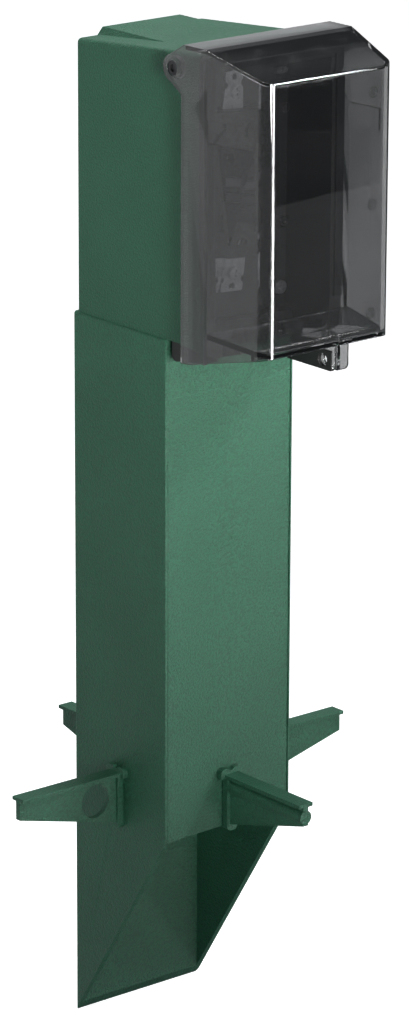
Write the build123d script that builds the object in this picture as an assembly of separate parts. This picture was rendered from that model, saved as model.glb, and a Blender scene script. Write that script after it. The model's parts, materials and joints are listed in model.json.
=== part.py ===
from build123d import *
import os

# Garden power post, all sizes in millimetres.
# A hollow plastic spike with four soil fins carries a hooded head.  The head holds a
# recessed outlet behind a clear lid that swings up about two pins.
# Origin: the ground line, on the axis of the post.  +Z is up and the lid faces -Y.

# Post and spike
post_width = 77.2
post_depth = 68.8
post_wall = 3.0
tip_z = -190.0          # lowest point, at the back wall
panel_bottom_z = -82.3  # front wall ends here, and the side walls run down to the tip
seam_z = 164.4          # the head stands on the post here
panel_line_z = 135.5    # the front panel is creased below this line
panel_thick = 3.0
panel_crease = 0.9
lip_thick = 1.1         # front lip of each side wall, beside the panel
seat_gap = 0.3          # clearance between parts that sit in each other
hook_heights = (-30.0, 45.0, 120.0)
hook_height = 10.0

# Soil fins
side_fin_reach = 61.2   # how far the fins stand out of the side walls
end_fin_reach = 56.9    # and out of the front and back walls
fin_top_z = -55.0
fin_root_z = -81.6
fin_tip_z = -66.0
fin_web = 3.0
fin_flange = 8.4
fin_hole_radius = 8.3
fin_hole_x = 15.9
fin_hole_z = -66.9
slot_low_z = -79.0
slot_high_z = -60.0

# Head
head_width = 76.0
head_wall = 2.8
head_back_y = 32.3
head_front_y = -60.2
rim_back_z = 294.1      # roof height at the back edge
roof_slope = 0.076      # the roof rises towards the front
plateau_z = 297.7       # raised panel on the roof
plateau_half = 23.1
collar_drop = 20.0
collar_screw_x = 18.0
collar_screw_z = 154.4
boss_spots = [(x, z) for x in (-29.0, 29.0) for z in (180.0, 284.0)]

# Lid
pin_y = -44.3
pin_z = 293.1
pin_radius = 3.45
ear_bore_radius = 3.5
ear_radius = 6.3
lid_half = 43.3         # outside of the skirt
lid_wall = 2.2
lid_top_z = 305.0
lid_rear_y = -52.6      # rear edge of the top strip
ridge_y = -67.6         # the top slopes down in front of the ridge
lid_front_y = -103.4
lid_front_half = 37.3
lid_front_top_z = 294.0
lid_corner = 7.0        # radius of the front corners
lid_bead = 1.8          # radius between the sloping top and the front
lid_front_low_z = 168.4
lid_rear_low_z = 160.6  # the side walls reach lower beside the skirt
lid_floor_rear_z = 172.2
lid_floor_thick = 2.4
lid_lip_y = -94.4
lid_band_low_z = 262.6  # thicker band across each side wall
lid_band_high_z = 273.0
lid_band_rise = 0.8
skirt_rear_y = -50.7
skirt_low_z = 157.4

# Outlet recess
frame_half = 34.8
frame_wall = 1.5
frame_plate_y = -32.5   # front face of the plate that the outlet is screwed to
frame_back_y = -30.3
frame_top_z = 295.3
flange_half = 40.2
flange_front_y = -64.4
flange_back_y = -61.4
apron_back_y = -36.8    # the part that hangs below the head, ahead of the post
apron_low_z = 154.3
cord_notch_x = 22.0
hasp_x = 9.6
padlock_y = -89.5
padlock_z = 158.6
padlock_radius = 3.0
rivet_spots = (hasp_x - 3.8, hasp_x + 3.2)
rivet_z = 167.6

# Outlet
outlet_z = 233.5
socket_pitch = 20.0     # each socket's distance from the outlet's centre
yoke_thick = 1.5
yoke_screw_z = 41.65    # standard device screws, 83.3 apart
cover_screw_z = 48.4    # standard cover screws, 96.8 apart
face_front_y = -39.0
button_pitch = 3.6

# Cable gland
gland_y = 12.0
gland_bore = 5.4

half_width = post_width / 2
half_depth = post_depth / 2
head_half = head_width / 2
inner_half = head_half - head_wall
yoke_front_y = frame_plate_y - yoke_thick
panel_back_y = -half_depth + panel_thick
floor_top_z = seam_z + head_wall


def block(x0, x1, y0, y1, z0, z1):
    return Pos((x0 + x1) / 2, (y0 + y1) / 2, (z0 + z1) / 2) * Box(x1 - x0, y1 - y0, z1 - z0)


def rod_x(y, z, radius, x0, x1):
    return Pos((x0 + x1) / 2, y, z) * Rot(0, 90, 0) * Cylinder(radius, abs(x1 - x0))


def rod_y(x, z, radius, y0, y1):
    return Pos(x, (y0 + y1) / 2, z) * Rot(90, 0, 0) * Cylinder(radius, abs(y1 - y0))


def rod_z(x, y, radius, z0, z1):
    return Pos(x, y, (z0 + z1) / 2) * Cylinder(radius, abs(z1 - z0))


def side_slab(outline, x0, x1):
    # Slab between x0 and x1 with a side outline of (y, z) points
    return extrude(Plane.YZ.offset(x0) * Polygon(*outline, align=None), x1 - x0, dir=(1, 0, 0))


def plan_slab(outline, z0, z1):
    # Slab between z0 and z1 with a plan outline of (x, y) points
    return extrude(Plane.XY.offset(z0) * Polygon(*outline, align=None), z1 - z0, dir=(0, 0, 1))


def both_sides(shape):
    # The shape and its mirror image across the middle plane
    return shape + mirror(shape, about=Plane.YZ)


def upright_edges(solid, rank):
    # Vertical edges, from the front (0) to the back (-1)
    return solid.edges().filter_by(Axis.Z).group_by(Axis.Y)[rank]


def roof_z(y):
    return rim_back_z + roof_slope * (head_back_y - y)


def fin_slot():
    return block(-post_wall, post_wall, -fin_web / 2 - 0.2, fin_web / 2 + 0.2, slot_low_z, slot_high_z)


def hook_pocket(z):
    inner = half_width - post_wall
    rise = hook_height / 2 + seat_gap
    return block(inner - 1, inner + 1.4, panel_back_y + 5.4, panel_back_y + 8.6, z - rise, z + rise)


def post_body():
    inner = half_width - post_wall
    seat = half_width - lip_thick
    slope = (panel_bottom_z - tip_z) / post_depth
    body = block(-half_width, half_width, -half_depth, half_depth, tip_z, seam_z)
    body = fillet(upright_edges(body, -1), 1.6)
    body = fillet(upright_edges(body, 0), 0.7)
    back_top = body.faces().sort_by(Axis.Z)[-1].edges().group_by(Axis.Y)[-1]
    body = fillet(back_top, 1.4)
    body -= block(-inner, inner, -half_depth - 1, half_depth - post_wall, tip_z - 1, seam_z + 1)
    body -= block(-seat, seat, -half_depth - 1, panel_back_y, tip_z - 1, seam_z + 1)
    body -= side_slab([(-half_depth - 5, panel_bottom_z + 5 * slope), (half_depth, tip_z),
                       (half_depth, tip_z - 5), (-half_depth - 5, tip_z - 5)],
                      -half_width - 1, half_width + 1)
    for z in hook_heights:
        body -= both_sides(hook_pocket(z))
    for x in (-collar_screw_x, collar_screw_x):
        body -= rod_y(x, collar_screw_z, 2.1, 20, half_depth + 1)
    body -= both_sides(Pos(half_width - post_wall / 2, 0, 0) * fin_slot())
    return body - Pos(0, half_depth - post_wall / 2, 0) * Rot(0, 0, 90) * fin_slot()


def panel_hook(z):
    # Snap hook on the panel's right edge that catches in the side wall
    inner = half_width - post_wall
    low, high = z - hook_height / 2, z + hook_height / 2
    arm = block(inner - 2.4, inner - 0.4, panel_back_y, panel_back_y + 8.2, low, high)
    barb = side_slab([(panel_back_y + 5.8, low), (panel_back_y + 8.2, low),
                      (panel_back_y + 8.2, high), (panel_back_y + 5.8, high)], inner - 0.4, inner + 0.9)
    return arm + barb


def front_panel():
    half = half_width - lip_thick - seat_gap
    front = -half_depth
    upper = block(-half, half, front, panel_back_y, panel_line_z, seam_z)
    lower = plan_slab([(-half, front), (0, front + panel_crease), (half, front),
                       (half, panel_back_y), (-half, panel_back_y)], panel_bottom_z, panel_line_z)
    panel = fillet(upright_edges(upper, 0), 0.8) + fillet(upright_edges(lower, 0), 0.8)
    for z in hook_heights:
        panel += both_sides(panel_hook(z))
    return panel - Pos(0, front + panel_thick / 2, 0) * Rot(0, 0, 90) * fin_slot()


# Soil fins are drawn on a wall at x = 0, pointing along +X
def fin_blade(outline, thick):
    side = Plane.XZ.offset(thick / 2) * Polygon(*outline, align=None)
    return extrude(side, thick, dir=(0, 1, 0))


def fin_root():
    # Root plate outside the wall, and a tongue with two barbs behind it
    plate = block(0, 3.6, -3.2, 3.2, fin_root_z - 2.2, fin_top_z - 1.8)
    plate = fillet(plate.edges().filter_by(Axis.X).group_by(Axis.Z)[0], 2.4)
    tongue = block(-post_wall - 3.0, 0, -fin_web / 2, fin_web / 2, slot_low_z + 0.5, slot_high_z - 0.5)
    barbs = block(-post_wall - 3.0, -post_wall - 0.2, -2.7, 2.7, slot_low_z + 4, slot_high_z - 4)
    clip = block(0, 2.8, -6.4, 6.4, fin_top_z - 2.2, fin_top_z + 2.6)
    clip = fillet(clip.edges().filter_by(Axis.X).group_by(Axis.Z)[-1], 2.2)
    notch = Pos(2.8, 0, fin_top_z + 3.2) * Rot(0, 90, 0) * Cylinder(1.9, 6)
    return plate + tongue + barbs + (clip - notch)


def soil_fin(reach, has_hole):
    flange = block(0, reach, -fin_flange / 2, fin_flange / 2, fin_top_z - 1.8, fin_top_z)
    web = fin_blade([(0, fin_top_z - 1), (reach, fin_top_z - 1), (reach, fin_tip_z),
                     (0, fin_root_z)], fin_web)
    fin = flange + web + fin_root()
    if has_hole:
        return fin - Pos(fin_hole_x, 0, fin_hole_z) * Rot(90, 0, 0) * Cylinder(fin_hole_radius, 20)
    bar_z = (fin_top_z + fin_tip_z) / 2 - 1.4
    return fin + rod_x(0, bar_z, 3.4, 0, reach)


def fins():
    return {
        "fin_right": Pos(half_width, 0, 0) * soil_fin(side_fin_reach, True),
        "fin_left": Pos(-half_width, 0, 0) * Rot(0, 0, 180) * soil_fin(side_fin_reach, True),
        "fin_back": Pos(0, half_depth, 0) * Rot(0, 0, 90) * soil_fin(end_fin_reach, True),
        "fin_front": Pos(0, -half_depth, 0) * Rot(0, 0, -90) * soil_fin(end_fin_reach, False),
    }


def head_outside():
    hood = side_slab([(head_back_y, seam_z), (head_front_y, seam_z),
                      (head_front_y, roof_z(head_front_y)), (head_back_y, rim_back_z)],
                     -head_half, head_half)
    hood = fillet(upright_edges(hood, -1), 2.6)
    roof = hood.faces().sort_by(Axis.Z)[-1]
    hood = fillet(roof.edges().group_by(Axis.Y)[1:], 2.2)
    low = Pos(0, (head_back_y - 26) / 2, rim_back_z - 2) * Rectangle(2 * plateau_half + 7, head_back_y + 26)
    high = Pos(0, (head_back_y - 27.4) / 2, plateau_z) * Rectangle(2 * plateau_half, head_back_y + 24.6)
    return hood + loft([low, high])


def head_collar():
    # Spigot below the floor that sits inside the post
    outer = half_width - post_wall - seat_gap
    back, front = half_depth - post_wall - seat_gap, panel_back_y + seat_gap
    low = seam_z - collar_drop
    ring = block(-outer, outer, front, back, low, seam_z)
    return ring - block(-outer + 2.4, outer - 2.4, front + 2.4, back - 2.4, low, seam_z)


def screw_boss(x, z):
    # Boss that takes a recess screw, tied to the side wall by a rib
    post = rod_y(x, z, 4.0, frame_back_y, -15)
    wall = inner_half if x > 0 else -inner_half
    rib = block(min(x, wall), max(x, wall), frame_back_y, -15, z - 1.2, z + 1.2)
    return post + rib - rod_y(x, z, 1.85, frame_back_y - 1, -17)


def head_shell():
    rear = head_back_y - head_wall
    inside = side_slab([(rear, floor_top_z), (head_front_y - 1, floor_top_z),
                        (head_front_y - 1, roof_z(head_front_y - 1) - head_wall),
                        (rear, roof_z(rear) - head_wall)], -inner_half, inner_half)
    head = head_outside() - inside + head_collar()
    head -= block(-inner_half, inner_half, head_front_y - 1, -half_depth - 0.1, seam_z - 1, floor_top_z + 1)
    for x, z in boss_spots:
        head += screw_boss(x, z)
    for x in (-collar_screw_x, collar_screw_x):
        head -= rod_y(x, collar_screw_z, 1.65, 20, half_depth)
    head -= rod_z(0, gland_y, 10.2, seam_z - 1, floor_top_z + 1)
    return head - rod_x(pin_y, pin_z, 2.05, -head_half - 1, head_half + 1)


def screw_y(x, z, face_y, head_radius, shank_radius, length, head_side=-1):
    # Pan-head screw along Y, its head on the -Y side unless head_side is 1
    head_end = face_y + 2.2 * head_side
    shank = rod_y(x, z, shank_radius, face_y, face_y - length * head_side)
    head = rod_y(x, z, head_radius, face_y, head_end)
    bit = block(x - 0.5, x + 0.5, head_end - 1, head_end + 1, z - 2, z + 2)
    bit += block(x - 2, x + 2, head_end - 1, head_end + 1, z - 0.5, z + 0.5)
    return head + shank - bit


def hex_bar(radius, y, z0, z1):
    return extrude(Plane.XY.offset(z0) * Pos(0, y) * RegularPolygon(radius, 6), z1 - z0)


def cable_gland():
    body = rod_z(0, gland_y, 10.0, seam_z, floor_top_z + 6.8)
    body += hex_bar(14, gland_y, seam_z - 6, seam_z)
    body += rod_z(0, gland_y, 9.5, seam_z - 14, seam_z - 6)
    body -= rod_z(0, gland_y, 6.2, seam_z - 15, floor_top_z + 8)
    body -= rod_z(0, gland_y, 7.9, seam_z - 15, seam_z - 8)
    nut = hex_bar(14, gland_y, floor_top_z, floor_top_z + 4) - rod_z(0, gland_y, 10.1, seam_z, floor_top_z + 5)
    seal = rod_z(0, gland_y, 7.8, seam_z - 15.5, seam_z - 8.1)
    seal -= rod_z(0, gland_y, gland_bore, seam_z - 16, seam_z - 8)
    cap = hex_bar(13.4, gland_y, seam_z - 17.5, seam_z - 7)
    cap -= rod_z(0, gland_y, 9.6, seam_z - 15.5, seam_z - 6)
    cap -= rod_z(0, gland_y, 6.6, seam_z - 18, seam_z - 15)
    return {"gland_body": body, "gland_locknut": nut, "gland_seal": seal, "gland_cap": cap}


def recess_frame():
    # Black tub that opens to the front, with a flange that the lid closes on
    top = frame_top_z
    tub = block(-frame_half, frame_half, flange_back_y, frame_back_y, floor_top_z + 0.4, top)
    drop = side_slab([(apron_back_y, apron_low_z), (flange_back_y, apron_low_z + 4.9),
                      (flange_back_y, seam_z - 0.3), (apron_back_y, seam_z - 0.3)],
                     -head_half + 1.2, head_half - 1.2)
    drop = fillet(drop.edges().filter_by(Axis.X).group_by(Axis.Z)[0], 3.0)
    neck = block(-frame_half, frame_half, flange_back_y, apron_back_y, seam_z - 1, floor_top_z + 1)
    flange = block(-flange_half, flange_half, flange_front_y, flange_back_y, apron_low_z + 7, 300.4)
    flange = fillet(flange.edges().filter_by(Axis.Y), 3.0)
    frame = tub + drop + neck + flange
    inner = frame_half - frame_wall
    frame -= block(-inner, inner, flange_front_y - 1, frame_plate_y, floor_top_z + 2, top - frame_wall)
    frame -= block(-inner, inner, flange_front_y + 1.6, apron_back_y - 1.6, apron_low_z + 7.4, floor_top_z + 3)
    for z in (-yoke_screw_z, yoke_screw_z):
        frame += rod_y(0, outlet_z + z, 4.0, frame_back_y, -20)
        frame -= rod_y(0, outlet_z + z, 1.6, frame_plate_y - 1, -21)
    frame -= block(-21, 21, -34, -28, outlet_z - 34.3, outlet_z + 34.3)
    for x, z in boss_spots:
        frame -= rod_y(x, z, 1.9, frame_plate_y - 1, frame_back_y + 1)
    for x in rivet_spots:
        frame -= rod_y(x, rivet_z, 1.3, flange_front_y - 1, flange_back_y + 1)
    return frame - both_sides(cord_notch())


def cord_notch():
    # Way out for an appliance cord, open at the bottom
    return block(cord_notch_x - 6.5, cord_notch_x + 6.5, flange_front_y - 1, -47, 150, 177)


def frame_gasket():
    # Foam strip between the flange and the front edge of the head
    high = roof_z(head_front_y) - 0.6
    ring = block(-head_half, head_half, flange_back_y, head_front_y, seam_z, high)
    return ring - block(-inner_half, inner_half, flange_back_y - 1, head_front_y + 1, seam_z - 1, high - 2.8)


def lid_gasket():
    # Soft strip on the flange's front face, up both sides and over the top
    low, high = 180.0, 299.6
    ring = block(-flange_half + 0.6, flange_half - 0.6, flange_front_y - 1.4, flange_front_y, low, high)
    inner = frame_half + 0.4
    return ring - block(-inner, inner, flange_front_y - 2, flange_front_y + 1, low - 1, high - 3.6)


def lock_hasp():
    # Fixed tongue below the lid, with a hole for a padlock's shackle
    foot = block(hasp_x - 6, hasp_x + 5, flange_front_y - 1.8, flange_front_y, apron_low_z + 7.2, 170.5)
    tongue = block(hasp_x - 1, hasp_x + 1, -95.6, flange_front_y - 0.4, apron_low_z - 0.2, 163.2)
    tongue = fillet(tongue.edges().filter_by(Axis.X).group_by(Axis.Z)[0], 0.8)
    hasp = foot + tongue
    for x in rivet_spots:
        hasp -= rod_y(x, rivet_z, 1.3, flange_front_y - 3, flange_front_y + 1)
    return hasp - rod_x(padlock_y, padlock_z, padlock_radius, 0, 20)


def hasp_rivets():
    rivets = []
    for x in rivet_spots:
        shank = rod_y(x, rivet_z, 1.25, flange_front_y - 1.8, flange_back_y)
        rivets.append(shank + rod_y(x, rivet_z, 2.2, flange_front_y - 2.6, flange_front_y - 1.8))
    return rivets


def lid_box(inset, drop):
    # The box in front of the ridge, drawn in by inset, with its lower edge moved down by drop
    half, front, front_half = lid_half - inset, lid_front_y + inset, lid_front_half - inset
    rear, top = ridge_y + 1.6, lid_top_z - inset
    plan = Polygon((-half, rear), (-half, ridge_y), (-front_half, front), (front_half, front),
                   (half, ridge_y), (half, rear), align=None)
    plan = fillet(plan.vertices().group_by(Axis.Y)[0], lid_corner - inset)
    fall = (lid_top_z - lid_front_top_z) / (ridge_y - lid_front_y)
    side = Polygon((rear, top), (ridge_y, top), (front, lid_front_top_z - inset + fall * inset),
                   (front, lid_front_low_z - drop), (ridge_y, lid_rear_low_z - drop),
                   (rear, lid_rear_low_z - drop), align=None)
    front_top = side.vertices().group_by(Axis.X)[0].sort_by(Axis.Y)[-1]
    side = fillet(front_top, max(lid_bead - inset, 0.2))
    upright = extrude(Plane.XY.offset(skirt_low_z - 40) * plan, 220, dir=(0, 0, 1))
    return upright & extrude(Plane.YZ.offset(-lid_half - 5) * side, 2 * lid_half + 10, dir=(1, 0, 0))


def lid_floor():
    # Sloping floor between the side walls, with a lip under it
    front, rear = lid_front_y + 1, ridge_y - 0.2
    inner = lid_half - lid_wall
    floor = side_slab([(front, lid_front_low_z + lid_floor_thick), (front, lid_front_low_z),
                       (rear, lid_floor_rear_z), (rear, lid_floor_rear_z + lid_floor_thick)], -inner, inner)
    lip = block(-inner, inner, lid_lip_y - 1, lid_lip_y + 1, lid_front_low_z - 1.4, lid_front_low_z + 2)
    return (floor + lip) & lid_box(0.5, 10)


def lid_bands():
    ring = lid_box(lid_wall - 0.1, 30) - lid_box(lid_wall + lid_band_rise, 30)
    return ring & block(-lid_half, lid_half, lid_front_y + 9, ridge_y, lid_band_low_z, lid_band_high_z)


def lid_latch():
    # Tab that stops in front of the fixed tongue, with an ear beside it for the padlock
    tab = block(hasp_x - 0.8, hasp_x + 7.8, -97.6, -95.8, apron_low_z + 0.4, lid_front_low_z + 1.6)
    tab = fillet(tab.edges().filter_by(Axis.Y).group_by(Axis.Z)[0], 2.2)
    ear = block(hasp_x + 1.6, hasp_x + 3.4, -95.8, -84.5, apron_low_z + 0.4, lid_front_low_z + 2.4)
    ear = fillet(ear.edges().filter_by(Axis.X).sort_by_distance((hasp_x + 2.5, -84.5, apron_low_z))[0], 3.0)
    return tab + ear - rod_x(padlock_y, padlock_z, padlock_radius, 0, 20)


def lid_side():
    # Right-hand skirt and hinge ear
    lobe = rod_x(pin_y, pin_z, ear_radius, lid_half - lid_wall, lid_half)
    neck = side_slab([(pin_y + 1.8, pin_z + 6.0), (lid_rear_y, lid_top_z), (ridge_y, lid_top_z),
                      (ridge_y, 270), (skirt_rear_y, 282), (pin_y + 4.9, pin_z - 3.9)],
                     lid_half - lid_wall, lid_half)
    skirt = side_slab([(skirt_rear_y, 290), (skirt_rear_y, skirt_low_z), (-58, skirt_low_z + 0.6),
                       (-66, skirt_low_z + 2.6), (ridge_y, skirt_low_z + 2.6), (ridge_y, 290)],
                      lid_half - lid_wall, lid_half)
    boss = rod_x(pin_y, pin_z, 5.4, head_half + 0.3, lid_half - lid_wall)
    bore = rod_x(pin_y, pin_z, ear_bore_radius, head_half, lid_half + 1)
    return lobe + neck + skirt + boss - bore


def lid():
    shell = lid_box(0, 0) - lid_box(lid_wall, 30)
    strip = block(-lid_half, lid_half, ridge_y, lid_rear_y, lid_top_z - lid_wall, lid_top_z)
    return shell + lid_floor() + lid_bands() + strip + both_sides(lid_side()) + lid_latch()


def hinge_pins():
    # Shouldered pins pressed into the head's side walls
    shoulder = head_half + 0.05
    pin = rod_x(pin_y, pin_z, pin_radius, shoulder, lid_half - 0.4)
    pin += rod_x(pin_y, pin_z, 2.0, inner_half, shoulder)
    socket = Pos(lid_half - 1.2, pin_y, pin_z) * Rot(0, 90, 0) * extrude(RegularPolygon(1.9, 6), 4)
    pin -= socket
    return [pin, mirror(pin, about=Plane.YZ)]


def yoke():
    strap = block(-6.1, 6.1, yoke_front_y, frame_plate_y, outlet_z - 51, outlet_z + 51)
    for way in (-1, 1):
        for x in (-6.6, 6.6):
            strap -= rod_y(x, outlet_z + way * 45, 1.9, yoke_front_y - 1, frame_plate_y + 1)
        strap -= rod_y(0, outlet_z + way * yoke_screw_z, 1.9, yoke_front_y - 1, frame_plate_y + 1)
        strap -= rod_y(0, outlet_z + way * cover_screw_z, 1.6, yoke_front_y - 1, frame_plate_y + 1)
    return strap


def outlet_face():
    face = block(-16.6, 16.6, face_front_y, yoke_front_y, outlet_z - 33.2, outlet_z + 33.2)
    face = fillet(face.edges().filter_by(Axis.Y), 1.5)
    face = fillet(face.faces().sort_by(Axis.Y)[0].edges(), 0.7)
    back = yoke_front_y + 1
    for way in (-1, 1):
        z = outlet_z + way * socket_pitch
        face -= block(-7.2, -5.4, face_front_y - 1, back, z - 1.0, z + 7.4)
        face -= block(5.5, 7.1, face_front_y - 1, back, z - 0.4, z + 6.8)
        face -= rod_y(0, z - 5.6, 2.5, face_front_y - 1, back)
        pocket_z = outlet_z + way * button_pitch
        face -= block(-5.2, 5.2, face_front_y - 1, back, pocket_z - 2.5, pocket_z + 2.5)
    return face


def outlet_button(z):
    button = block(-4.9, 4.9, face_front_y - 1.4, yoke_front_y - 2.3, z - 2.2, z + 2.2)
    return fillet(button.faces().sort_by(Axis.Y)[0].edges(), 0.6)


def button_spring(z):
    turns = Helix(pitch=0.7, height=1.7, radius=1.4)
    wire = sweep(Plane(origin=turns @ 0, z_dir=turns % 0) * Circle(0.2), path=turns)
    return Pos(0, yoke_front_y - 0.3, z) * Rot(90, 0, 0) * wire


def outlet_body():
    body = block(-20.5, 20.5, yoke_front_y, -6, outlet_z - 33.8, outlet_z + 33.8)
    body = fillet(body.faces().sort_by(Axis.Y)[-1].edges(), 1.5)
    body -= block(-6.2, 6.2, yoke_front_y - 1, frame_plate_y, outlet_z - 40, outlet_z + 40)
    body -= block(-18.5, 18.5, -31, -8, outlet_z - 31.8, outlet_z + 31.8)
    for way in (-1, 1):
        z = outlet_z + way * socket_pitch
        for x in (-6.3, 6.3):
            body -= block(x - 1.2, x + 1.2, yoke_front_y - 1, -30, z - 1.2, z + 7.6)
        body -= rod_y(0, z - 5.6, 2.7, yoke_front_y - 1, -30)
    return body


def blade_contacts(x):
    # Two spring clips on one bus bar
    bar = block(x - 2, x + 2, -20, -18.6, outlet_z - socket_pitch - 2, outlet_z + socket_pitch + 8)
    for way in (-1, 1):
        z = outlet_z + way * socket_pitch
        for leaf in (-1.9, 1.1):
            bar += block(x + leaf, x + leaf + 0.8, -29, -20, z - 1, z + 7)
    return bar


def ground_contact():
    bar = block(-1.5, 1.5, -14.4, -13, outlet_z - 28, outlet_z + 16)
    for way in (-1, 1):
        z = outlet_z + way * socket_pitch - 5.6
        bar += rod_y(0, z, 3.2, -29, -14) - rod_y(0, z, 2.4, -30, -15)
    return bar


def terminal_screws():
    screws = []
    for out in (-1, 1):
        for z in (outlet_z - 9, outlet_z + 9):
            screw = rod_x(-19, z, 3.4, 20.5 * out, 22.5 * out)
            screws.append(screw - Pos(22.7 * out, -19, z) * Box(2, 6, 1))
    return screws


def ground_screw():
    low = outlet_z - 33.8
    return rod_z(0, -19, 3.2, low - 2, low) - block(-0.5, 0.5, -22, -16, low - 3, low - 1.2)


def build():
    parts = {
        "post_body": post_body(),
        "front_panel": front_panel(),
        "head_shell": head_shell(),
        "collar_screws": [screw_y(x, collar_screw_z, half_depth, 3.6, 1.6, 9, 1)
                          for x in (-collar_screw_x, collar_screw_x)],
        "recess_frame": recess_frame(),
        "frame_screws": [screw_y(x, z, frame_plate_y, 3.4, 1.8, 13) for x, z in boss_spots],
        "frame_gasket": frame_gasket(),
        "lid_gasket": lid_gasket(),
        "lock_hasp": lock_hasp(),
        "hasp_rivets": hasp_rivets(),
        "lid": lid(),
        "hinge_pins": hinge_pins(),
        "yoke": yoke(),
        "yoke_screws": [screw_y(0, outlet_z + z, yoke_front_y, 3.3, 1.55, 12)
                        for z in (-yoke_screw_z, yoke_screw_z)],
        "outlet_face": outlet_face(),
        "outlet_body": outlet_body(),
        "test_button": outlet_button(outlet_z + button_pitch),
        "reset_button": outlet_button(outlet_z - button_pitch),
        "test_spring": button_spring(outlet_z + button_pitch),
        "reset_spring": button_spring(outlet_z - button_pitch),
        "live_contacts": blade_contacts(6.3),
        "neutral_contacts": blade_contacts(-6.3),
        "ground_contact": ground_contact(),
        "terminal_screws": terminal_screws(),
        "ground_screw": ground_screw(),
    }
    return {**parts, **fins(), **cable_gland()}


os.makedirs("parts", exist_ok=True)
for name, shape in build().items():
    solid = Compound(children=shape) if isinstance(shape, list) else shape
    export_step(solid, f"parts/{name}.step")
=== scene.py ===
import bpy
import bmesh
import json
import math
from mathutils import Matrix, Vector


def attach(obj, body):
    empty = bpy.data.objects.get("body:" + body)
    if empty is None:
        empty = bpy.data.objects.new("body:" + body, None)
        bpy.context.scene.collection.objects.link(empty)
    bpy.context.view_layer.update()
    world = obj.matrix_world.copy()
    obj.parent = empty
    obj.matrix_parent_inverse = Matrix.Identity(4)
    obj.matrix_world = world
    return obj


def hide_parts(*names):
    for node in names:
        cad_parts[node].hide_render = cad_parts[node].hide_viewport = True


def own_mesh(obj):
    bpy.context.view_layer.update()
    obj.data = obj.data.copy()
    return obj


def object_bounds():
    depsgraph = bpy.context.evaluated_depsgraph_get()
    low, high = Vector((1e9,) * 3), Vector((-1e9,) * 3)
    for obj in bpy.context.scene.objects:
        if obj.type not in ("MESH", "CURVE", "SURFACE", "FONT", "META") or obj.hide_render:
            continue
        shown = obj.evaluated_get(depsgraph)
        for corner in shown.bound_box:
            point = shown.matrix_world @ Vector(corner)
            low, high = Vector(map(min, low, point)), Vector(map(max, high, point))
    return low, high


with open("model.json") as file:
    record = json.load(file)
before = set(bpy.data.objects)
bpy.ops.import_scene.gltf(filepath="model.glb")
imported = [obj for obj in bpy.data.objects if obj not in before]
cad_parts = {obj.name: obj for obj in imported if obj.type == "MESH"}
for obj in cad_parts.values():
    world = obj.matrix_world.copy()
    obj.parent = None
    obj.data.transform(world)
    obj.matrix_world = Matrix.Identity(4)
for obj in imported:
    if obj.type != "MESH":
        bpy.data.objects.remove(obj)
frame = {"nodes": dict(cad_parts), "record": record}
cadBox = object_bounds()
nodes = frame["nodes"]
print("frame loaded,", len(nodes), "nodes")


# Camera: three-quarter view from the front left, a little above the lid
cameraSettings = {
    "place": (-1.3597, -1.6511, 0.7274),
    "turn": -39.750,   # degrees round the post, 0 is straight in front
    "tilt": 17.181,    # degrees down
    "roll": 0.218,
    "lens": 165.96,
    "sensor": 36.0,
}


def makeCamera(settings):
    turn, tilt, roll = (math.radians(settings[k]) for k in ("turn", "tilt", "roll"))
    back = Vector((math.sin(turn) * math.cos(tilt), -math.cos(turn) * math.cos(tilt), math.sin(tilt)))
    right = (-back).cross(Vector((0, 0, 1))).normalized()
    up = right.cross(-back)
    rolledRight = right * math.cos(roll) + up * math.sin(roll)
    rolledUp = up * math.cos(roll) - right * math.sin(roll)
    data = bpy.data.cameras.new("camera")
    data.lens = settings["lens"]
    data.sensor_width = settings["sensor"]
    data.clip_start = 0.05
    data.clip_end = 60
    camera = bpy.data.objects.new("camera", data)
    bpy.context.scene.collection.objects.link(camera)
    basis = Matrix((rolledRight, rolledUp, back)).transposed().to_4x4()
    camera.matrix_world = Matrix.Translation(settings["place"]) @ basis
    bpy.context.scene.camera = camera


makeCamera(cameraSettings)


# Shader helpers
def newMaterial(name):
    material = bpy.data.materials.new(name)
    material.use_nodes = True
    tree = material.node_tree
    shader = tree.nodes["Principled BSDF"]
    coords = tree.nodes.new("ShaderNodeTexCoord").outputs["Object"]
    return material, tree, shader, coords


def noise(tree, coords, size, detail=2.0, roughness=0.5):
    # size is in metres
    node = tree.nodes.new("ShaderNodeTexNoise")
    node.inputs["Scale"].default_value = 1 / size
    node.inputs["Detail"].default_value = detail
    node.inputs["Roughness"].default_value = roughness
    tree.links.new(coords, node.inputs["Vector"])
    return node.outputs["Fac"]


def mapRange(tree, value, fromLow, fromHigh, toLow, toHigh):
    node = tree.nodes.new("ShaderNodeMapRange")
    for key, number in (("From Min", fromLow), ("From Max", fromHigh), ("To Min", toLow), ("To Max", toHigh)):
        node.inputs[key].default_value = number
    tree.links.new(value, node.inputs["Value"])
    return node.outputs["Result"]


def mixColour(tree, factor, first, second):
    # first and second are colours or sockets
    node = tree.nodes.new("ShaderNodeMix")
    node.data_type = "RGBA"
    tree.links.new(factor, node.inputs[0])
    for socket, value in ((node.inputs[6], first), (node.inputs[7], second)):
        if isinstance(value, tuple):
            socket.default_value = value
        else:
            tree.links.new(value, socket)
    return node.outputs[2]


def bump(tree, height, strength, distance, under=None):
    node = tree.nodes.new("ShaderNodeBump")
    node.inputs["Strength"].default_value = strength
    node.inputs["Distance"].default_value = distance
    tree.links.new(height, node.inputs["Height"])
    if under is not None:
        tree.links.new(under, node.inputs["Normal"])
    return node.outputs["Normal"]


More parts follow.
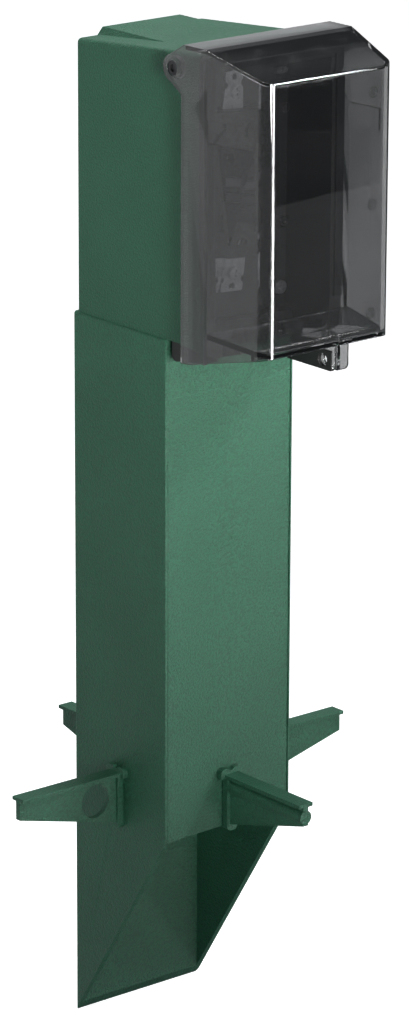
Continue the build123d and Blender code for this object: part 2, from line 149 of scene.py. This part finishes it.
def edgeMask(tree, radius):
    # 1 along edges that hands and soil rub, 0 on flat faces
    rounded = tree.nodes.new("ShaderNodeBevel")
    rounded.samples = 4
    rounded.inputs["Radius"].default_value = radius
    facing = tree.nodes.new("ShaderNodeNewGeometry")
    dot = tree.nodes.new("ShaderNodeVectorMath")
    dot.operation = "DOT_PRODUCT"
    tree.links.new(rounded.outputs["Normal"], dot.inputs[0])
    tree.links.new(facing.outputs["Normal"], dot.inputs[1])
    return mapRange(tree, dot.outputs["Value"], 0.985, 0.86, 0.0, 1.0)


# Studio: near-white floor under the spike's tip, a low key from the front left, soft lights round about
studioSettings = {
    "floorHalf": 9.0,
    "floorGap": 0.0002,   # from the spike's tip down to the floor
    "floorColour": (0.86, 0.87, 0.87, 1),
    "floorLift": 0.75,    # light of its own that keeps the floor near white
    "lidLift": 0.75,      # share of it that shows through the lid
    "skyColour": (1, 1, 1, 1),
    "backdropColour": (0.48, 0.49, 0.50, 1),   # wall behind the post, as its gloss sees it
    "roomColour": (0.075, 0.08, 0.085, 1),
    "backdropSide": (-0.3, 0.954, 0.0),
    "backdropEdge": (0.35, 0.68),   # it fades in between these, measured along backdropSide
    "backdropTop": (0.3, 0.55),     # and fades out between these heights
    "lights": {
        # name: place, aims at, width, height, watts, colour, spread in degrees
        "overhead": ((0.22, 0.2, 1.1), (0.0, 0.0, 0.3), 0.35, 0.35, 2.4, (1, 1, 1), 110),
        "key": ((-0.42, -1.3, 0.42), (0, 0, 0.30), 0.5, 0.5, 1.5, (1, 0.99, 0.97), 30),
        "fill": ((1.4, -1.75, 0.75), (0, 0, 0.05), 0.5, 0.30, 0.8, (1, 1, 1), 60),
        "window": ((1.22, -1.12, 1.5), (0, -0.08, 0.28), 0.30, 0.30, 2.2, (0.9, 0.95, 1), 60),
        "side": ((-1.3, 0.0, 1.2), (0, 0, 0.15), 0.5, 0.5, 0.3, (1, 1, 1), 60),
        "gleam": ((0.11, -0.985, 0.08), (-0.04, -0.1, 0.2), 0.30, 0.5, 1.9, (1, 1, 1), 90),
        "floorWash": ((0.1, 1.9, 2.0), (0.1, 1.91, -0.19), 3.0, 2.4, 13, (1, 1, 1), 80),
    },
    "shineOnly": ("gleam",),   # these light no matt surface and show only as reflections
}


def makeFloor(settings):
    bm = bmesh.new()
    bmesh.ops.create_grid(bm, x_segments=1, y_segments=1, size=settings["floorHalf"])
    bmesh.ops.translate(bm, verts=bm.verts, vec=(0, 0, cadBox[0].z - settings["floorGap"]))
    mesh = bpy.data.meshes.new("floor")
    bm.to_mesh(mesh)
    bm.free()
    floor = bpy.data.objects.new("floor", mesh)
    bpy.context.scene.collection.objects.link(floor)
    paint = bpy.data.materials.new("floor_paint")
    paint.use_nodes = True
    tree = paint.node_tree
    shader = tree.nodes["Principled BSDF"]
    shader.inputs["Base Color"].default_value = settings["floorColour"]
    shader.inputs["Roughness"].default_value = 0.9
    shader.inputs["Specular IOR Level"].default_value = 0.1
    shader.inputs["Emission Color"].default_value = settings["skyColour"]
    rays = tree.nodes.new("ShaderNodeLightPath")
    seen = tree.nodes.new("ShaderNodeMath")
    seen.operation = "MAXIMUM"
    tree.links.new(rays.outputs["Is Camera Ray"], seen.inputs[0])
    smoked = mapRange(tree, rays.outputs["Is Transmission Ray"], 0.0, 1.0, 0.0, settings["lidLift"])
    tree.links.new(smoked, seen.inputs[1])
    lift = mapRange(tree, seen.outputs[0], 0.0, 1.0, 0.0, settings["floorLift"])
    tree.links.new(lift, shader.inputs["Emission Strength"])
    mesh.materials.append(paint)
    floor.visible_glossy = False


def makeWorld(settings):
    # White where the camera sees it; reflections see a dark room with a pale wall at the back
    world = bpy.data.worlds.new("studio")
    world.use_nodes = True
    tree = world.node_tree
    background = tree.nodes["Background"]
    direction = tree.nodes.new("ShaderNodeTexCoord").outputs["Generated"]
    toBackdrop = tree.nodes.new("ShaderNodeVectorMath")
    toBackdrop.operation = "DOT_PRODUCT"
    toBackdrop.inputs[1].default_value = settings["backdropSide"]
    tree.links.new(direction, toBackdrop.inputs[0])
    across = mapRange(tree, toBackdrop.outputs["Value"], *settings["backdropEdge"], 0.0, 1.0)
    height = tree.nodes.new("ShaderNodeSeparateXYZ")
    tree.links.new(direction, height.inputs["Vector"])
    below = mapRange(tree, height.outputs["Z"], *settings["backdropTop"], 1.0, 0.0)
    glow = tree.nodes.new("ShaderNodeMath")
    glow.operation = "MULTIPLY"
    tree.links.new(across, glow.inputs[0])
    tree.links.new(below, glow.inputs[1])
    room = mixColour(tree, glow.outputs[0], settings["roomColour"], settings["backdropColour"])
    seen = tree.nodes.new("ShaderNodeLightPath").outputs["Is Camera Ray"]
    tree.links.new(mixColour(tree, seen, room, settings["skyColour"]), background.inputs["Color"])
    bpy.context.scene.world = world


def makeLights(settings):
    for name, (place, aim, wide, high, watts, colour, spread) in settings["lights"].items():
        data = bpy.data.lights.new(name, "AREA")
        data.shape = "RECTANGLE"
        data.size = wide
        data.size_y = high
        data.energy = watts
        data.color = colour
        data.spread = math.radians(spread)
        light = bpy.data.objects.new(name, data)
        bpy.context.scene.collection.objects.link(light)
        light.location = place
        direction = Vector(aim) - Vector(place)
        light.rotation_mode = "QUATERNION"
        light.rotation_quaternion = direction.to_track_quat("-Z", "Y")
        light.visible_camera = False
        light.visible_diffuse = name not in settings["shineOnly"]
    bpy.context.scene.view_settings.view_transform = "Standard"


makeFloor(studioSettings)
makeWorld(studioSettings)
makeLights(studioSettings)
print("camera and studio ready")


def grainedPlastic(name, settings):
    # Moulded plastic: cloudy colour, rubbed edges, pebbled grain with a painted highlight on each raised
    # pebble and painted shade in the pits between
    material, tree, shader, coords = newMaterial(name)
    cloud = mapRange(tree, noise(tree, coords, settings["cloudSize"], 3.0, 0.6), 0.3, 0.7, 0.0, 1.0)
    body = mixColour(tree, cloud, settings["deep"], settings["plain"])
    pebble = noise(tree, coords, settings["grain"], 2.0, 0.55)
    # Painted highlight and shade of the grain: the colour is lighter on the raised pebbles and darker in
    # their pits, following the bump's noise
    pebbleLightAndShade = mapRange(tree, pebble, 0.40, 0.60, 1 - settings["pebbleShading"], 1 + settings["pebbleShading"])
    pebbleShadedColour = tree.nodes.new("ShaderNodeVectorMath")
    pebbleShadedColour.operation = "SCALE"
    tree.links.new(body, pebbleShadedColour.inputs[0])
    tree.links.new(pebbleLightAndShade, pebbleShadedColour.inputs["Scale"])
    body = pebbleShadedColour.outputs["Vector"]
    rub = mapRange(tree, noise(tree, coords, settings["rubSize"], 3.0, 0.6), 0.35, 0.65, 0.3, 1.0)
    worn = tree.nodes.new("ShaderNodeMath")
    worn.operation = "MULTIPLY"
    tree.links.new(edgeMask(tree, settings["edge"]), worn.inputs[0])
    tree.links.new(rub, worn.inputs[1])
    tree.links.new(mixColour(tree, worn.outputs[0], body, settings["rubbed"]), shader.inputs["Base Color"])
    fine = noise(tree, coords, settings["grain"] * 0.3, 1.0, 0.5)
    low, high = settings["roughness"]
    tree.links.new(mapRange(tree, pebble, 0.35, 0.65, low, high), shader.inputs["Roughness"])
    relief = bump(tree, pebble, settings["strength"], settings["depth"])
    tree.links.new(bump(tree, fine, settings["strength"] * 0.5, settings["depth"] * 0.3, relief),
                   shader.inputs["Normal"])
    shader.inputs["Specular IOR Level"].default_value = settings["shine"]
    return material


greenSettings = {
    "deep": (0.022, 0.108, 0.060, 1),
    "plain": (0.027, 0.122, 0.070, 1),
    "rubbed": (0.050, 0.170, 0.105, 1),
    "cloudSize": 0.045,
    "rubSize": 0.006,
    "edge": 0.0006,
    "grain": 0.0010,
    "depth": 0.0009,
    "strength": 1.0,
    # painted highlight and shade on the pebbles, as a share of the colour
    "pebbleShading": 0.22,
    "roughness": (0.36, 0.60),
    "shine": 0.45,
}
blackSettings = {
    "deep": (0.010, 0.010, 0.010, 1),
    "plain": (0.014, 0.014, 0.015, 1),
    "rubbed": (0.045, 0.045, 0.046, 1),
    "cloudSize": 0.045,
    "rubSize": 0.006,
    "edge": 0.0004,
    "grain": 0.0006,
    "depth": 0.00002,
    "strength": 0.2,
    # painted highlight and shade on the pebbles, as a share of the colour
    "pebbleShading": 0.08,
    "roughness": (0.34, 0.50),
    "shine": 0.5,
}
outletSettings = dict(blackSettings, plain=(0.022, 0.022, 0.023, 1), grain=0.0004, depth=0.00002,
                      roughness=(0.22, 0.34))
testSettings = dict(outletSettings, deep=(0.05, 0.05, 0.055, 1), plain=(0.07, 0.07, 0.075, 1))
resetSettings = dict(outletSettings, deep=(0.020, 0.020, 0.022, 1), plain=(0.030, 0.030, 0.032, 1))
foamSettings = dict(blackSettings, grain=0.0005, depth=0.0003, strength=0.8, roughness=(0.7, 0.95), shine=0.2)


def smokedClear(name, settings):
    # Polished smoke-tinted plastic: lamps pass through it, with faint handling haze
    material, tree, shader, coords = newMaterial(name)
    flow = noise(tree, coords, 0.03, 2.0, 0.5)
    tree.links.new(mixColour(tree, flow, settings["deep"], settings["plain"]), shader.inputs["Base Color"])
    haze = noise(tree, coords, 0.012, 4.0, 0.65)
    low, high = settings["roughness"]
    tree.links.new(mapRange(tree, haze, 0.45, 0.75, low, high), shader.inputs["Roughness"])
    tree.links.new(bump(tree, flow, 0.25, 0.00025), shader.inputs["Normal"])
    shader.inputs["Transmission Weight"].default_value = 1.0
    shader.inputs["IOR"].default_value = settings["bend"]
    shader.inputs["Coat Weight"].default_value = settings["polish"]
    shader.inputs["Coat Roughness"].default_value = 0.02
    lamp = tree.nodes.new("ShaderNodeLightPath")
    passing = tree.nodes.new("ShaderNodeBsdfTransparent")
    passing.inputs["Color"].default_value = settings["shadow"]
    choice = tree.nodes.new("ShaderNodeMixShader")
    output = tree.nodes["Material Output"]
    tree.links.new(lamp.outputs["Is Shadow Ray"], choice.inputs[0])
    tree.links.new(shader.outputs[0], choice.inputs[1])
    tree.links.new(passing.outputs[0], choice.inputs[2])
    tree.links.new(choice.outputs[0], output.inputs["Surface"])
    return material


smokedSettings = {
    "deep": (0.350, 0.353, 0.357, 1),
    "plain": (0.380, 0.382, 0.385, 1),
    "shadow": (0.55, 0.55, 0.55, 1),
    "roughness": (0.01, 0.05),
    "bend": 1.55,
    "polish": 0.8,
}


def metal(name, settings):
    # Plated or plain metal: tumbled sheen, fine scratches, a little staining
    material, tree, shader, coords = newMaterial(name)
    stain = mapRange(tree, noise(tree, coords, 0.004, 3.0, 0.6), 0.35, 0.7, 0.0, 1.0)
    colour = mixColour(tree, stain, settings["plain"], settings["stained"])
    tree.links.new(colour, shader.inputs["Base Color"])
    stretch = tree.nodes.new("ShaderNodeMapping")
    stretch.inputs["Scale"].default_value = (1, 1, 14)
    tree.links.new(coords, stretch.inputs["Vector"])
    scratch = noise(tree, stretch.outputs["Vector"], 0.002, 2.0, 0.6)
    low, high = settings["roughness"]
    tree.links.new(mapRange(tree, scratch, 0.3, 0.7, low, high), shader.inputs["Roughness"])
    tree.links.new(bump(tree, scratch, 0.3, 0.00002), shader.inputs["Normal"])
    shader.inputs["Metallic"].default_value = 1.0
    return material


zincSettings = {"plain": (0.48, 0.49, 0.51, 1), "stained": (0.34, 0.35, 0.37, 1), "roughness": (0.24, 0.42)}
darkSteelSettings = {"plain": (0.10, 0.10, 0.105, 1),
                     "stained": (0.05, 0.05, 0.052, 1), "roughness": (0.3, 0.5)}
brassSettings = {"plain": (0.72, 0.52, 0.22, 1), "stained": (0.50, 0.34, 0.14, 1), "roughness": (0.22, 0.4)}
greenScrewSettings = {"plain": (0.05, 0.30, 0.12, 1),
                      "stained": (0.03, 0.19, 0.08, 1), "roughness": (0.3, 0.5)}

finishes = {
    "green_plastic": grainedPlastic("green_plastic_grained", greenSettings),
    "black_plastic": grainedPlastic("black_plastic_satin", blackSettings),
    "outlet_black": grainedPlastic("outlet_black_smooth", outletSettings),
    "test_button": grainedPlastic("test_button_grey", testSettings),
    "reset_button": grainedPlastic("reset_button_dark", resetSettings),
    "gasket_rubber": grainedPlastic("gasket_foam", foamSettings),
    "smoked_clear": smokedClear("smoked_clear_polished", smokedSettings),
    "zinc_steel": metal("zinc_plate", zincSettings),
    "dark_steel": metal("blackened_steel", darkSteelSettings),
    "contact_brass": metal("contact_brass_plain", brassSettings),
    "green_screw": metal("ground_screw_green", greenScrewSettings),
}
print("finishes ready,", len(finishes))


bodies = frame["record"]["behaviour"]["bodies"]
bodyOf = {node: body for body, members in bodies.items() for node in members}
slotOf = {part["node"]: part["material_slot"] for part in frame["record"]["subparts"]}


def finishPiece(bm, name, body, slot, replaced=(), crease=32):
    # Makes the bmesh a piece that rides on a body; edges of more than crease degrees stay sharp
    mesh = bpy.data.meshes.new(name)
    bm.to_mesh(mesh)
    bm.free()
    mesh.shade_smooth()
    mesh.set_sharp_from_angle(angle=math.radians(crease))
    mesh.materials.append(finishes[slot])
    piece = bpy.data.objects.new(name, mesh)
    bpy.context.scene.collection.objects.link(piece)
    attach(piece, body)
    if replaced:
        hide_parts(*replaced)
    return piece


def mergedCopy(node):
    # The node's shape as clean flat faces, ready for softer edges
    bm = bmesh.new()
    bm.from_mesh(nodes[node].data)
    bmesh.ops.remove_doubles(bm, verts=bm.verts, dist=0.000002)
    bmesh.ops.dissolve_limit(bm, angle_limit=math.radians(0.5), verts=bm.verts, edges=bm.edges)
    return bm


def soften(piece, radius, segments=2, angle=32):
    edges = piece.modifiers.new("soft_edges", "BEVEL")
    edges.width = radius
    edges.segments = segments
    edges.limit_method = "ANGLE"
    edges.angle_limit = math.radians(angle)
    edges.harden_normals = True
    edges.use_clamp_overlap = True
    edges.miter_outer = "MITER_ARC"
    return piece


softEdges = {
    # node: edge radius in metres
    "post_body": 0.0004,
    "front_panel": 0.0004,
    "head_shell": 0.0005,
    "fin_left": 0.0004,
    "fin_right": 0.0004,
    "fin_front": 0.0004,
    "fin_back": 0.0004,
    "recess_frame": 0.0004,
    "lock_hasp": 0.0003,
    "outlet_face": 0.00015,
    "outlet_body": 0.0003,
    "yoke": 0.0002,
    "gland_body": 0.0003,
    "gland_locknut": 0.0003,
    "gland_cap": 0.0003,
}


def softenNodes(settings):
    for node, radius in settings.items():
        crease = 1 if node == "front_panel" else 32   # the panel's shallow crease stays crisp
        piece = finishPiece(mergedCopy(node), node + "_moulded", bodyOf[node], slotOf[node],
                            replaced=[node], crease=crease)
        soften(piece, radius)


softenNodes(softEdges)
print("moulded pieces ready,", len(softEdges))


lidSettings = {
    "edgeRadius": 0.0011,
    "edgeSegments": 4,
    "ringSpots": [(x, z) for x in (-0.0261, 0.0261) for z in (0.1802, 0.2309, 0.2825)],
    "ringRadius": 0.0024,
    "ringWire": 0.00022,
    "innerRing": 0.45,   # its radius as a share of the outer ring's
    "ringSteps": 28,
    "frontInside": -0.1012,
}


def makeLid(settings):
    lid = finishPiece(mergedCopy("lid"), "lid_moulded", "lid", "smoked_clear", replaced=["lid"])
    soften(lid, settings["edgeRadius"], settings["edgeSegments"])


def makeLidMarks(settings):
    # Raised ejector rings inside the front of the lid
    bm = bmesh.new()
    for x, z in settings["ringSpots"]:
        for radius in (settings["ringRadius"], settings["ringRadius"] * settings["innerRing"]):
            made = bmesh.ops.create_circle(bm, segments=8, radius=settings["ringWire"])
            centre = Vector((x, settings["frontInside"], z))
            turn = Matrix.Translation(centre + Vector((radius, 0, 0)))
            bmesh.ops.transform(bm, matrix=turn, verts=made["verts"])
            edges = [e for e in bm.edges if all(v in made["verts"] for v in e.verts)]
            bmesh.ops.spin(bm, geom=made["verts"] + edges, cent=centre, axis=(0, 1, 0),
                           angle=math.tau, steps=settings["ringSteps"], use_merge=True)
    bmesh.ops.recalc_face_normals(bm, faces=bm.faces)
    finishPiece(bm, "lid_ejector_marks", "lid", "smoked_clear")


makeLid(lidSettings)
makeLidMarks(lidSettings)
print("lid ready")


springSettings = {
    "seat": -0.034,   # the yoke's front face
    "kept": 0.55,     # share of its length that a pressed spring keeps
    "pressedBy": {"test_spring": "test_button_press", "reset_spring": "reset_button_press"},
}


def makeSprings(settings):
    for node, joint in settings["pressedBy"].items():
        spring = finishPiece(mergedCopy(node), node + "_coils", "post", slotOf[node], replaced=[node])
        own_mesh(spring)


makeSprings(springSettings)
print("springs ready")


for node, piece in nodes.items():
    # What is left of the frame keeps its shape and takes its finish
    piece.data.materials.clear()
    piece.data.materials.append(finishes[slotOf[node]])
